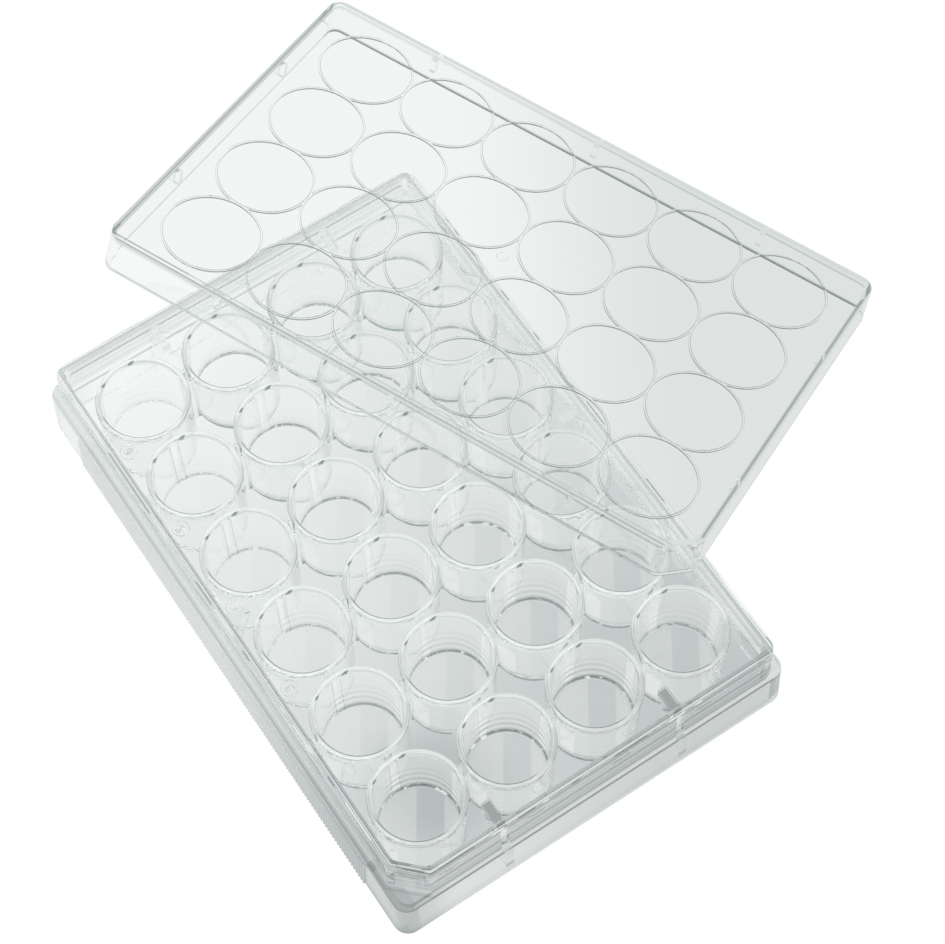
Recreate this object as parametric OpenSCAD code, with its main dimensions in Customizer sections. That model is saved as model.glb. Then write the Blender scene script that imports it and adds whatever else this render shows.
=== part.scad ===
// Well plate with its loose lid. One moulded plate holds a grid of flat-bottomed
// wells, and one moulded lid leans on the plate's edge with a corner on the table.
// Millimetres, +Z up. The origin is at the centre of the plate's foot. +X runs
// along the rows from column 1 to the last column, +Y towards row A.

/* [Wells] */
// Number of columns of wells
columns = 6; // [1:1:6]
// Number of rows of wells
rows = 4; // [1:1:4]
// Distance between neighbouring well centres
well_pitch = 19.2; // [19:0.1:19.4]
// Inner width of a well at its mouth
mouth_d = 16.3; // [15:0.1:16.5]
// Inner width of a well at its floor
floor_d = 15.6; // [14:0.1:15.8]
// Thickness of a well's wall
cup_t = 1; // [0.7:0.05:1.05]
// Thickness of a well's floor
floor_t = 1.2; // [0.8:0.1:2]
// Height of a well's underside above the table
floor_gap = 0.8; // [0.5:0.1:2]
// Height of the rims above the deck
rim_h = 0.8; // [0.4:0.1:1.5]

/* [Plate] */
// Length of the foot
foot_l = 127.76; // [127.5:0.01:128]
// Width of the foot
foot_w = 85.48; // [85.2:0.01:85.8]
// Height of the whole plate
plate_h = 20; // [19.5:0.1:22]
// Height of the ledge that carries the lid
ledge_z = 11.4; // [10:0.1:12]
// How far the ledge's outer edge stands in from the foot
skirt_draft = 0.42; // [0.2:0.01:0.6]
// How far the upper wall's foot stands in from the plate's foot
wall_inset = 1.65; // [1.4:0.05:1.8]
// How far the upper wall's top stands in from the plate's foot
top_inset = 2; // [1.9:0.05:2.3]
// Thickness of the skirt and the upper wall
wall_t = 1.5; // [1.2:0.1:1.8]
// Depth of the deck below the top of the wall
deck_drop = 2.6; // [2:0.1:4]
// Thickness of the deck
deck_t = 1.2; // [1:0.1:2]
// Radius of the foot's corners
corner_r = 3; // [2.5:0.1:4]
// Length of the cut across the corner beside the first well
cut_corner = 5.4; // [4:0.1:6]

/* [Webs and ribs] */
// Thickness of the webs between neighbouring wells
web_t = 2.2; // [1.5:0.1:3]
// Width of the ribs inside the end walls
end_rib_t = 1.8; // [1.2:0.1:2.4]
// Width of the ribs inside the side walls
side_rib_t = 1.6; // [1.2:0.1:2.4]
// How far the ribs reach in from the wall at the deck
rib_reach = 5; // [3:0.1:5.5]

/* [Grip] */
// Distance between neighbouring grip ridges
grip_pitch = 0.8; // [0.8:0.1:2]
// How far the grip ridges stand out from the skirt
grip_out = 0.38; // [0.2:0.02:0.5]
// Length of the grip on each long side
grip_l = 102.4; // [60:0.8:110]
// Height of the grip
grip_h = 10.4; // [6:0.1:10.8]

/* [Lid] */
// Length of the lid at its open edge
lid_l = 127.7; // [127:0.1:127.8]
// Width of the lid at its open edge
lid_w = 85.3; // [84.8:0.1:85.4]
// Depth of the lid from its panel to its open edge
lid_h = 8.3; // [8:0.01:9]
// How much narrower the lid is at its top, on each side
lid_draft = 0.55; // [0.2:0.05:0.8]
// Thickness of the lid's panel
panel_t = 1.1; // [0.8:0.05:1.2]
// Thickness of the lid's skirt
lid_wall_t = 0.9; // [0.7:0.05:0.95]
// Width of the raised bead round the lid's top
bead_w = 1; // [0.8:0.1:1.5]
// Height of the bead above the panel
bead_h = 0.5; // [0.3:0.1:0.8]
// Width of the spacers inside the skirt
spacer_w = 1.1; // [0.8:0.1:2]
// How far the spacers stand in from the skirt
spacer_in = 1.2; // [0.6:0.1:1.5]
// Length of the spacers below the panel
spacer_h = 3.2; // [1:0.1:5]
// Radius of the rings under the panel
ring_r = 9.58; // [9:0.01:9.6]
// Width of each ring's ridge
ring_w = 0.5; // [0.4:0.1:0.8]
// Height of each ring's ridge
ring_h = 0.35; // [0.2:0.05:0.8]

/* [How the lid leans] */
// Turn of the lid in plan
lid_turn = 25.33; // [25:0.01:26]
// Tilt of the lid across its length
lid_tilt_x = 15.77; // [15.4:0.01:16.2]
// Tilt of the lid along its length
lid_tilt_y = -2.76; // [-3:0.01:-2.5]
// Place of the lid's centre along the plate
lid_x = 33.1; // [32.5:0.05:33.5]
// Place of the lid's centre across the plate
lid_y = -43.52; // [-44:0.01:-43]

/* [Hidden] */

eps = 0.01;
clear_plastic = [0.80, 0.86, 0.85, 0.45];
round_steps = 32;
fine_steps = 64;

// wells
deck_z = plate_h - deck_drop;
rim_z = deck_z + rim_h;
floor_z = floor_gap + floor_t;
mouth_r = mouth_d / 2;
floor_r = floor_d / 2;
rim_r = mouth_r + cup_t;
cup_foot_r = floor_r + cup_t;
mid_wall_r = floor_r + 0.7 * cup_t;
grid_l = (columns - 1) * well_pitch;
grid_w = (rows - 1) * well_pitch;

// upper wall
wall_l = foot_l - 2 * wall_inset;
wall_w = foot_w - 2 * wall_inset;
wall_draft = top_inset - wall_inset;
inner_l = foot_l - 2 * (top_inset + wall_t);
inner_w = foot_w - 2 * (top_inset + wall_t);
inner_r = corner_r - wall_t / 2;
inner_cut = cut_corner - 0.6 * wall_t;

// ribs
rib_foot_z = 2;
rib_foot_reach = 2.2;
end_rib_y = well_pitch;
side_rib_x = 1.5 * well_pitch;

// grip
grip_count = floor(grip_l / grip_pitch);
grip_root = 0.04;
grip_sink = 0.4;
grip_lift = 0.06;
grip_lean = atan(skirt_draft / ledge_z);

// lid
panel_l = lid_l - 2 * bead_w - 2 * lid_draft;
panel_w = lid_w - 2 * bead_w - 2 * lid_draft;
spacer_sink = 0.5;
side_spacer_x = 2 * well_pitch;
end_spacer_y = well_pitch;

// The lid's lowest corner touches the table: these are the parts of the turned
// lid's axes that point up, and the height that leaves the corner at zero.
lean_x = -sin(lid_tilt_y);
lean_y = cos(lid_tilt_y) * sin(lid_tilt_x);
lean_z = cos(lid_tilt_y) * cos(lid_tilt_x);
lid_z = lid_h * lean_z
      + (lid_l / 2 - corner_r) * abs(lean_x)
      + (lid_w / 2 - corner_r) * abs(lean_y)
      + corner_r * norm([lean_x, lean_y]);

// Points on an arc from angle a to angle b
function arc(x, y, r, a, b, steps) =
    [for (i = [0:steps]) let (t = a + (b - a) * i / steps) [x + r * cos(t), y + r * sin(t)]];

// Rounded block that narrows upwards by draft on every side. A cut above zero
// takes off the corner at -X, +Y, where the block's top edge then runs straight.
module tapered_block(l, w, r, h, draft, cut = 0) {
    cut_r = min(r, 1.5);
    hull() {
        for (side = [[1, 1], [1, -1], [-1, -1]])
            block_corner(side[0] * (l / 2 - r), side[1] * (w / 2 - r), r, h, draft);
        if (cut > 0) {
            block_corner(cut_r - l / 2, w / 2 - cut - cut_r / 2, cut_r, h, draft);
            block_corner(cut + cut_r / 2 - l / 2, w / 2 - cut_r, cut_r, h, draft);
        } else {
            block_corner(r - l / 2, w / 2 - r, r, h, draft);
        }
    }
}

module block_corner(x, y, r, h, draft) {
    translate([x, y, 0])
        cylinder(h = h, r1 = r, r2 = r - draft, $fn = round_steps);
}

module at_wells() {
    for (column = [0:columns - 1])
        for (row = [0:rows - 1])
            translate([column * well_pitch - grid_l / 2, grid_w / 2 - row * well_pitch, 0])
                children();
}

// One well: flat floor, slightly conical wall and a rounded rim
module cup() {
    lip_r = cup_t / 2;
    edge_r = 0.5;
    rotate_extrude($fn = fine_steps)
        polygon(concat(
            [[0, floor_gap]],
            arc(cup_foot_r - edge_r, floor_gap + edge_r, edge_r, -90, 0, 2),
            arc(rim_r - lip_r, rim_z - lip_r, lip_r, 0, 180, 6),
            arc(floor_r - edge_r, floor_z + edge_r, edge_r, 0, -90, 2),
            [[0, floor_z]]
        ));
}

// Outer skirt, ledge and upper wall, open below and recessed above the deck
module shell() {
    difference() {
        union() {
            tapered_block(foot_l, foot_w, corner_r, ledge_z, skirt_draft);
            tapered_block(wall_l, wall_w, corner_r, plate_h, wall_draft, cut_corner);
        }
        translate([0, 0, deck_z])
            tapered_block(inner_l, inner_w, inner_r, deck_drop + eps, 0, inner_cut);
        translate([0, 0, -eps]) {
            tapered_block(foot_l - 2 * wall_t, foot_w - 2 * wall_t, inner_r,
                          ledge_z - wall_t + eps, skirt_draft);
            tapered_block(wall_l - 2 * wall_t, wall_w - 2 * wall_t, inner_r,
                          deck_z - deck_t + eps, wall_draft, inner_cut);
        }
    }
}

// Webs that join neighbouring wells, one bar along each row and each column
module webs() {
    web_z = floor_gap + 0.1;
    web_h = rim_z - 0.1 - web_z;
    for (row = [0:rows - 1])
        translate([-grid_l / 2, grid_w / 2 - row * well_pitch - web_t / 2, web_z])
            cube([grid_l, web_t, web_h]);
    for (column = [0:columns - 1])
        translate([column * well_pitch - grid_l / 2 - web_t / 2, -grid_w / 2, web_z])
            cube([web_t, grid_w, web_h]);
}

// Rib inside a wall, deep at the deck and shallow at its foot. It is drawn with
// the wall's outer face at zero and reaches along -X.
module wall_rib(t, reach) {
    back = -top_inset - wall_t / 2;
    rotate([90, 0, 0])
        translate([0, 0, -t / 2])
            linear_extrude(t)
                polygon([
                    [-wall_t / 2, rib_foot_z],
                    [back, rim_z],
                    [-top_inset - wall_t - reach, rim_z],
                    [-top_inset - wall_t - reach, deck_z - deck_t],
                    [-wall_t - rib_foot_reach, rib_foot_z]
                ]);
}

module ribs() {
    for (end = [0, 180])
        for (y = [-end_rib_y, end_rib_y])
            rotate(end)
                translate([foot_l / 2, y, 0])
                    wall_rib(end_rib_t, rib_reach);
    for (side = [90, 270]) {
        rotate(side)
            translate([foot_w / 2, 0, 0])
                wall_rib(side_rib_t, rib_reach - 0.6);
        for (x = [-side_rib_x, side_rib_x])
            rotate(side)
                translate([foot_w / 2, x, 0])
                    wall_rib(side_rib_t, wall_t);
    }
}

// Fine upright ridges along a long side of the skirt
module grip() {
    length = grip_count * grip_pitch;
    ridges = [for (i = [0:grip_count - 1]) each [
        [i * grip_pitch - length / 2, grip_root],
        [(i + 0.35) * grip_pitch - length / 2, grip_out],
        [(i + 0.65) * grip_pitch - length / 2, grip_out]
    ]];
    translate([0, foot_w / 2, grip_lift])
        rotate([grip_lean, 0, 0])
            linear_extrude(grip_h)
                polygon(concat(
                    [[-length / 2, -grip_sink]],
                    ridges,
                    [[length / 2, grip_root], [length / 2, -grip_sink]]
                ));
}

module plate() {
    color(clear_plastic) {
        difference() {
            union() {
                shell();
                webs();
                ribs();
            }
            at_wells()
                translate([0, 0, floor_gap / 2])
                    cylinder(h = plate_h, r = mid_wall_r, $fn = fine_steps);
        }
        at_wells()
            cup();
        grip();
        mirror([0, 1, 0])
            grip();
    }
}

// Ridge on the lid's underside that stands round the mouth of one well
module ring() {
    translate([0, 0, -panel_t - ring_h])
        difference() {
            cylinder(h = ring_h + panel_t / 2, r = ring_r + ring_w / 2, $fn = fine_steps);
            translate([0, 0, -eps])
                cylinder(h = ring_h + panel_t, r = ring_r - ring_w / 2, $fn = fine_steps);
        }
}

// Short upright ribs inside the skirt that keep the lid clear of the plate.
// One is drawn with the skirt's inner face at zero and stands in along -X.
module spacer() {
    translate([-spacer_in, -spacer_w / 2, -panel_t - spacer_h])
        cube([spacer_in + spacer_sink, spacer_w, spacer_h + panel_t / 2]);
}

module spacers() {
    inset = lid_wall_t + lid_draft;
    for (side = [90, 270])
        for (x = [-side_spacer_x, 0, side_spacer_x])
            rotate(side)
                translate([lid_w / 2 - inset, x, 0])
                    spacer();
    for (end = [0, 180])
        for (y = [-end_spacer_y, end_spacer_y])
            rotate(end)
                translate([lid_l / 2 - inset, y, 0])
                    spacer();
}

// The lid about the centre of its panel's top, open downwards
module lid_shape() {
    difference() {
        translate([0, 0, -lid_h])
            tapered_block(lid_l, lid_w, corner_r, lid_h + bead_h, lid_draft, cut_corner);
        tapered_block(panel_l, panel_w, 1.5, bead_h + eps, 0, cut_corner - 1);
        translate([0, 0, -lid_h - eps])
            tapered_block(lid_l - 2 * lid_wall_t, lid_w - 2 * lid_wall_t, corner_r - lid_wall_t,
                          lid_h - panel_t + eps, lid_draft, cut_corner);
    }
    spacers();
    at_wells()
        ring();
}

module lid() {
    color(clear_plastic)
        translate([lid_x, lid_y, lid_z])
            rotate([lid_tilt_x, lid_tilt_y, lid_turn])
                lid_shape();
}

plate();
lid();
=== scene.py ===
import bpy
import bmesh
import math
from mathutils import Euler, Matrix, Vector
from types import SimpleNamespace


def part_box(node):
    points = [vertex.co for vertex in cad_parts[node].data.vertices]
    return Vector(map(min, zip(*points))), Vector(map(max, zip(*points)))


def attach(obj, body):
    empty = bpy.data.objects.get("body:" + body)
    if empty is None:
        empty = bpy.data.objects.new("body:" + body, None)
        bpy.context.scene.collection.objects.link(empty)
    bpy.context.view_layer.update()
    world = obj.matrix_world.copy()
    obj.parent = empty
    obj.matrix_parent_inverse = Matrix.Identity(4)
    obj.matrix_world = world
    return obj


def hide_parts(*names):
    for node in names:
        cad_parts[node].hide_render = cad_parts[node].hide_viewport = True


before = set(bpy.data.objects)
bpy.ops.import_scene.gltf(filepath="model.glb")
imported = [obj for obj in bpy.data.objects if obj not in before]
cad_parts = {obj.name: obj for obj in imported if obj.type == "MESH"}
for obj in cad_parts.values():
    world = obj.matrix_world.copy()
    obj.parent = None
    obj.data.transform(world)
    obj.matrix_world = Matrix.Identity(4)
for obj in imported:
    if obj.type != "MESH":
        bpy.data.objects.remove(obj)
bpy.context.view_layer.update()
mm = 0.001

# A clear 24-well plate and the lid that leans on it. Everything is modelled in
# millimetres and made metres at the end of each piece.


def meshObject(name, bm):
    mesh = bpy.data.meshes.new(name)
    bm.to_mesh(mesh)
    bm.free()
    piece = bpy.data.objects.new(name, mesh)
    bpy.context.scene.collection.objects.link(piece)
    return piece


def outline(bm, length, width, radius, cut=0.0, cutRadius=0.8, segments=8):
    # a flat rounded rectangle, with the corner at -X, +Y cut straight if asked
    bmesh.ops.create_grid(bm, x_segments=1, y_segments=1, size=0.5)
    bmesh.ops.scale(bm, vec=(length, width, 1), verts=bm.verts)
    corner = min(bm.verts, key=lambda v: v.co.x - v.co.y)
    others = [v for v in bm.verts if v is not corner]
    if cut:
        bmesh.ops.bevel(bm, geom=[corner], offset=cut, offset_type="OFFSET", segments=1,
                        profile=0.5, affect="VERTICES", material=-1)
        ends = [v for v in bm.verts if v not in others]
        bmesh.ops.bevel(bm, geom=ends, offset=cutRadius, offset_type="OFFSET", segments=4,
                        profile=0.5, affect="VERTICES", material=-1)
        others = [v for v in bm.verts if abs(abs(v.co.x) - length / 2) < 1e-4
                  and abs(abs(v.co.y) - width / 2) < 1e-4]
    else:
        others.append(corner)
    bmesh.ops.bevel(bm, geom=others, offset=radius, offset_type="OFFSET", segments=segments,
                    profile=0.5, affect="VERTICES", material=-1)


def block(name, length, width, radius, low, high, draft=0.0, cut=0.0, edge=0.0):
    # a rounded block that narrows upwards by draft on each side
    bm = bmesh.new()
    outline(bm, length, width, radius, cut)
    bmesh.ops.translate(bm, vec=(0, 0, low), verts=bm.verts)
    raised = bmesh.ops.extrude_face_region(bm, geom=list(bm.faces))
    top = [g for g in raised["geom"] if isinstance(g, bmesh.types.BMVert)]
    bmesh.ops.translate(bm, vec=(0, 0, high - low), verts=top)
    bmesh.ops.scale(bm, vec=(1 - 2 * draft / length, 1 - 2 * draft / width, 1), verts=top)
    if edge:
        ring = [e for e in bm.edges if e.verts[0] in top and e.verts[1] in top]
        bmesh.ops.bevel(bm, geom=ring, offset=edge, offset_type="OFFSET", segments=3,
                        profile=0.5, affect="EDGES", material=-1)
    bmesh.ops.recalc_face_normals(bm, faces=bm.faces)
    return meshObject(name, bm)


def joined(name, parts):
    # several loose solids as one mesh
    bm = bmesh.new()
    for part in parts:
        bm.from_mesh(part.data)
        dropMesh(part)
    return meshObject(name, bm)


def dropMesh(piece):
    mesh = piece.data
    bpy.data.objects.remove(piece)
    bpy.data.meshes.remove(mesh)


def combine(piece, tool, how):
    # piece with tool added or taken away, as one clean solid
    step = piece.modifiers.new("combine", "BOOLEAN")
    step.operation = how
    step.solver = "MANIFOLD"
    step.object = tool
    view = bpy.context.evaluated_depsgraph_get()
    mesh = bpy.data.meshes.new_from_object(piece.evaluated_get(view))
    if not mesh.polygons:
        raise RuntimeError("nothing is left of " + piece.name + " after " + tool.name)
    piece.modifiers.clear()
    old = piece.data
    piece.data = mesh
    bpy.data.meshes.remove(old)
    dropMesh(tool)
    return piece


def arc(cx, cz, radius, start, end, steps):
    for i in range(steps + 1):
        angle = math.radians(start + (end - start) * i / steps)
        yield (cx + radius * math.cos(angle), 0, cz + radius * math.sin(angle))


def spun(bm, points, steps, closed=False):
    # turns a profile in the XZ plane round Z into a solid
    verts = [bm.verts.new(p) for p in points]
    edges = [bm.edges.new(pair) for pair in zip(verts, verts[1:])]
    if closed:
        edges.append(bm.edges.new((verts[-1], verts[0])))
    bmesh.ops.spin(bm, geom=verts + edges, cent=(0, 0, 0), axis=(0, 0, 1), dvec=(0, 0, 0),
                   angle=math.tau, steps=steps, use_merge=True, use_duplicate=False)
    bmesh.ops.remove_doubles(bm, verts=bm.verts, dist=1e-5)
    bmesh.ops.recalc_face_normals(bm, faces=bm.faces)


def repeated(name, bm, places):
    # the same shape at each place, as one mesh
    pattern = bpy.data.meshes.new(name)
    bm.to_mesh(pattern)
    bm.free()
    whole = bmesh.new()
    for x, y in places:
        before = len(whole.verts)
        whole.from_mesh(pattern)
        whole.verts.ensure_lookup_table()
        bmesh.ops.translate(whole, vec=(x, y, 0), verts=whole.verts[before:])
    bpy.data.meshes.remove(pattern)
    return meshObject(name, whole)


def bar(name, low, high, edge=0.0):
    bm = bmesh.new()
    bmesh.ops.create_cube(bm, size=1)
    low, high = Vector(low), Vector(high)
    bmesh.ops.scale(bm, vec=high - low, verts=bm.verts)
    bmesh.ops.translate(bm, vec=(low + high) / 2, verts=bm.verts)
    if edge:
        bmesh.ops.bevel(bm, geom=list(bm.edges), offset=edge, offset_type="OFFSET", segments=2,
                        profile=0.5, affect="EDGES", material=-1)
    return meshObject(name, bm)


def finishPiece(piece, node, matrix=Matrix.Identity(4), sharp=30, replaces=True):
    # metres, true place, smooth faces with real edges, and the CAD node that it stands for
    bm = bmesh.new()
    bm.from_mesh(piece.data)
    bmesh.ops.remove_doubles(bm, verts=bm.verts, dist=1e-4)
    for face in bm.faces:
        face.smooth = True
    for edge in bm.edges:
        edge.smooth = edge.calc_face_angle(0) < math.radians(sharp)
    spot = bm.verts.layers.float_vector.new("spot")
    for vert in bm.verts:
        vert[spot] = vert.co
    bmesh.ops.transform(bm, matrix=Matrix.Scale(mm, 4) @ matrix, verts=bm.verts)
    bm.to_mesh(piece.data)
    bm.free()
    flat = piece.modifiers.new("flat faces stay flat", "WEIGHTED_NORMAL")
    flat.keep_sharp = True
    flat.weight = 100
    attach(piece, "root")
    if replaces:
        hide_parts(node)
    print(piece.name, len(piece.data.polygons), "faces")


plateSpec = {
    "gripOut": 0.38,
    "ledgeHeight": 11.4,
    "skirtDraft": 0.42,
    "wallInset": 1.65,
    "topInset": 2.0,
    "wall": 1.5,
    "deckDrop": 2.6,
    "deckThick": 1.2,
    "rimHeight": 0.8,
    "cornerRadius": 3.0,
    "cutCorner": 5.4,
    "edgeRound": 0.3,
    "innerCutShare": 0.6,
    "wallFrom": 2,
    "clear": 5,
    "below": -1,
}


def makeShell():
    p = plateSpec
    low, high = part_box("plate")
    length = (high[0] - low[0]) / mm
    width = (high[1] - low[1]) / mm - 2 * p["gripOut"]
    height = high[2] / mm
    deck = height - p["deckDrop"]
    wallLength, wallWidth = length - 2 * p["wallInset"], width - 2 * p["wallInset"]
    innerLength = length - 2 * (p["topInset"] + p["wall"])
    innerWidth = width - 2 * (p["topInset"] + p["wall"])
    innerRadius = p["cornerRadius"] - p["wall"] / 2
    innerCut = p["cutCorner"] - p["innerCutShare"] * p["wall"]
    wallDraft = p["topInset"] - p["wallInset"]
    shell = block("clearPlate", length, width, p["cornerRadius"], 0, p["ledgeHeight"],
                  p["skirtDraft"], 0, p["edgeRound"])
    upper = block("upperWall", wallLength, wallWidth, p["cornerRadius"], p["wallFrom"], height,
                  wallDraft, p["cutCorner"], p["edgeRound"])
    combine(shell, upper, "UNION")
    recess = block("recess", innerLength, innerWidth, innerRadius, deck, height + p["clear"], 0, innerCut)
    combine(shell, recess, "DIFFERENCE")
    skirtHollow = block("skirtHollow", length - 2 * p["wall"], width - 2 * p["wall"], innerRadius,
                        p["below"], p["ledgeHeight"] - p["wall"], p["skirtDraft"])
    combine(shell, skirtHollow, "DIFFERENCE")
    wallHollow = block("wallHollow", wallLength - 2 * p["wall"], wallWidth - 2 * p["wall"],
                       innerRadius, p["below"], deck - p["deckThick"], wallDraft, innerCut)
    combine(shell, wallHollow, "DIFFERENCE")
    print("plate: skirt, ledge, raised wall and deck")
    return shell, length, width, deck


wellSpec = {
    "columns": 6,
    "rows": 4,
    "pitch": 19.2,
    "mouthRadius": 8.15,
    "floorRadius": 7.8,
    "wall": 1.0,
    "floorTop": 2.0,
    "floorUnder": 0.8,
    "lipRadius": 0.5,
    "floorFillet": 0.45,
    "footRound": 0.35,
    "steps": 96,
    "holeWall": 0.7,
    "holeFrom": 0.4,
    "holeDepth": 40,
}


def wellPlaces():
    w = wellSpec
    for column in range(w["columns"]):
        for row in range(w["rows"]):
            x = (column - (w["columns"] - 1) / 2) * w["pitch"]
            y = ((w["rows"] - 1) / 2 - row) * w["pitch"]
            yield x, y


def makeCups(deck):
    w = wellSpec
    rim = deck + plateSpec["rimHeight"]
    lip, fillet, foot = w["lipRadius"], w["floorFillet"], w["footRound"]
    outerFoot = w["floorRadius"] + w["wall"]
    outerRim = w["mouthRadius"] + w["wall"]
    points = [(0, 0, w["floorUnder"])]
    points += arc(outerFoot - foot, w["floorUnder"] + foot, foot, -90, 0, 4)
    points += arc(outerRim - lip, rim - lip, lip, 0, 180, 10)
    points += arc(w["floorRadius"] - fillet, w["floorTop"] + fillet, fillet, 0, -90, 4)
    points += [(0, 0, w["floorTop"])]
    bm = bmesh.new()
    spun(bm, points, w["steps"])
    return repeated("cups", bm, wellPlaces())


ribSpec = {
    "webThick": 2.2,
    "endRibThick": 1.8,
    "sideRibThick": 1.6,
    "reach": 5.0,
    "sideReach": 4.4,
    "footReach": 2.2,
    "footHeight": 2.0,
    "webShort": 0.1,
}


def makeWebs(deck):
    w, r = wellSpec, ribSpec
    low = w["floorUnder"] + r["webShort"]
    high = deck + plateSpec["rimHeight"] - r["webShort"]
    halfLength = (w["columns"] - 1) / 2 * w["pitch"]
    halfWidth = (w["rows"] - 1) / 2 * w["pitch"]
    half = r["webThick"] / 2
    webs = bar("webs", (-halfLength, halfWidth - half, low), (halfLength, halfWidth + half, high))
    rows = sorted({y for x, y in wellPlaces()})
    for y in rows[:-1]:
        combine(webs, bar("web", (-halfLength, y - half, low), (halfLength, y + half, high)), "UNION")
    for x in sorted({x for x, y in wellPlaces()}):
        combine(webs, bar("web", (x - half, -halfWidth, low), (x + half, halfWidth, high)), "UNION")
    return webs


def wallRib(thick, reach, deck):
    # drawn with the wall's outer face at zero and reaching along -X
    p, r = plateSpec, ribSpec
    rim = deck + p["rimHeight"]
    back = -p["topInset"] - p["wall"] / 2
    front = -p["topInset"] - p["wall"] - reach
    points = [(-p["wall"] / 2, r["footHeight"]), (back, rim), (front, rim),
              (front, deck - p["deckThick"]), (-p["wall"] - r["footReach"], r["footHeight"])]
    bm = bmesh.new()
    side = bm.faces.new([bm.verts.new((x, -thick / 2, z)) for x, z in points])
    raised = bmesh.ops.extrude_face_region(bm, geom=[side])
    other = [g for g in raised["geom"] if isinstance(g, bmesh.types.BMVert)]
    bmesh.ops.translate(bm, vec=(0, thick, 0), verts=other)
    bmesh.ops.recalc_face_normals(bm, faces=bm.faces)
    return bm


def makeRibs(length, width, deck):
    r = ribSpec
    pitch = wellSpec["pitch"]
    placed = []
    for turn in (0, 180):
        for y in (-pitch, pitch):
            placed.append((r["endRibThick"], r["reach"], turn, length / 2, y))
    for turn in (90, 270):
        placed.append((r["sideRibThick"], r["sideReach"], turn, width / 2, 0))
        for x in (-1.5 * pitch, 1.5 * pitch):
            placed.append((r["sideRibThick"], plateSpec["wall"], turn, width / 2, x))
    parts = []
    for thick, reach, turn, out, along in placed:
        bm = wallRib(thick, reach, deck)
        move = Matrix.Rotation(math.radians(turn), 4, "Z") @ Matrix.Translation((out, along, 0))
        bmesh.ops.transform(bm, matrix=move, verts=bm.verts)
        parts.append(meshObject("rib", bm))
    return joined("ribs", parts)


gripSpec = {
    "pitch": 0.8,
    "length": 102.4,
    "height": 10.4,
    "ridgeRadius": 0.36,
    "steps": 8,
    "lift": 0.06,
}


def makeGrips(width):
    g, p = gripSpec, plateSpec
    count = int(g["length"] / g["pitch"])
    bm = bmesh.new()
    bmesh.ops.create_cone(bm, cap_ends=True, cap_tris=False, segments=g["steps"],
                          radius1=g["ridgeRadius"], radius2=g["ridgeRadius"], depth=g["height"])
    bmesh.ops.translate(bm, vec=(0, 0, g["height"] / 2 + g["lift"]), verts=bm.verts)
    lean = math.atan(p["skirtDraft"] / p["ledgeHeight"])
    bmesh.ops.rotate(bm, cent=(0, 0, 0), matrix=Matrix.Rotation(lean, 3, "X"), verts=bm.verts)
    mirrored = bm.copy()
    bmesh.ops.scale(mirrored, vec=(1, -1, 1), verts=mirrored.verts)
    bmesh.ops.reverse_faces(mirrored, faces=mirrored.faces)
    xs = [(i - (count - 1) / 2) * g["pitch"] for i in range(count)]
    back = repeated("gripBack", bm, [(x, width / 2) for x in xs])
    front = repeated("gripFront", mirrored, [(x, -width / 2) for x in xs])
    return joined("grips", [back, front])


def makePlate():
    plate, length, width, deck = makeShell()
    combine(plate, makeWebs(deck), "UNION")
    combine(plate, makeRibs(length, width, deck), "UNION")
    print("plate: webs and ribs")
    w = wellSpec
    bm = bmesh.new()
    middle = w["floorRadius"] + w["holeWall"] * w["wall"]
    bmesh.ops.create_cone(bm, cap_ends=True, cap_tris=False, segments=w["steps"],
                          radius1=middle, radius2=middle, depth=w["holeDepth"])
    bmesh.ops.translate(bm, vec=(0, 0, w["holeFrom"] + w["holeDepth"] / 2), verts=bm.verts)
    combine(plate, repeated("wellHoles", bm, wellPlaces()), "DIFFERENCE")
    combine(plate, makeCups(deck), "UNION")
    print("plate: wells")
    combine(plate, makeGrips(width), "UNION")
    finishPiece(plate, "plate")
    return plate


lidSpec = {
    "length": 127.7,
    "width": 85.3,
    "depth": 8.3,
    "draft": 0.55,
    "panel": 1.1,
    "wall": 0.9,
    "cornerRadius": 3.0,
    "cutCorner": 5.4,
    "beadWidth": 1.0,
    "beadHeight": 0.5,
    "spacerWidth": 1.1,
    "spacerReach": 1.2,
    "spacerLength": 3.2,
    "spacerRoot": 0.5,
    "ringRadius": 9.58,
    "ringWidth": 0.5,
    "ringHeight": 0.35,
    "ringDraft": 0.06,
    "ringSteps": 120,
    "edgeRound": 0.25,
    "dishRadius": 1.5,
    "clear": 5,
    "past": 1,
    "place": (33.1, -43.52),
    "tilt": (15.77, -2.76, 25.33),
}


def lidMatrix():
    s = lidSpec
    tilt = Euler([math.radians(a) for a in s["tilt"]], "XYZ").to_matrix()
    up = tilt[2]
    radius = s["cornerRadius"]
    height = (s["depth"] * up[2] + (s["length"] / 2 - radius) * abs(up[0])
              + (s["width"] / 2 - radius) * abs(up[1]) + radius * math.hypot(up[0], up[1]))
    return Matrix.Translation((*s["place"], height)) @ tilt.to_4x4()


def ringDiscs(name, low, high, lowRadius, highRadius, pick):
    # one disc at each place that is picked, narrower at its foot if asked
    places = [place for i, place in enumerate(wellPlaces()) if pick(i)]
    bm = bmesh.new()
    bmesh.ops.create_cone(bm, cap_ends=True, cap_tris=False, segments=lidSpec["ringSteps"],
                          radius1=lowRadius, radius2=highRadius, depth=high - low)
    bmesh.ops.translate(bm, vec=(0, 0, (high + low) / 2), verts=bm.verts)
    return repeated(name, bm, places)


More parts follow.
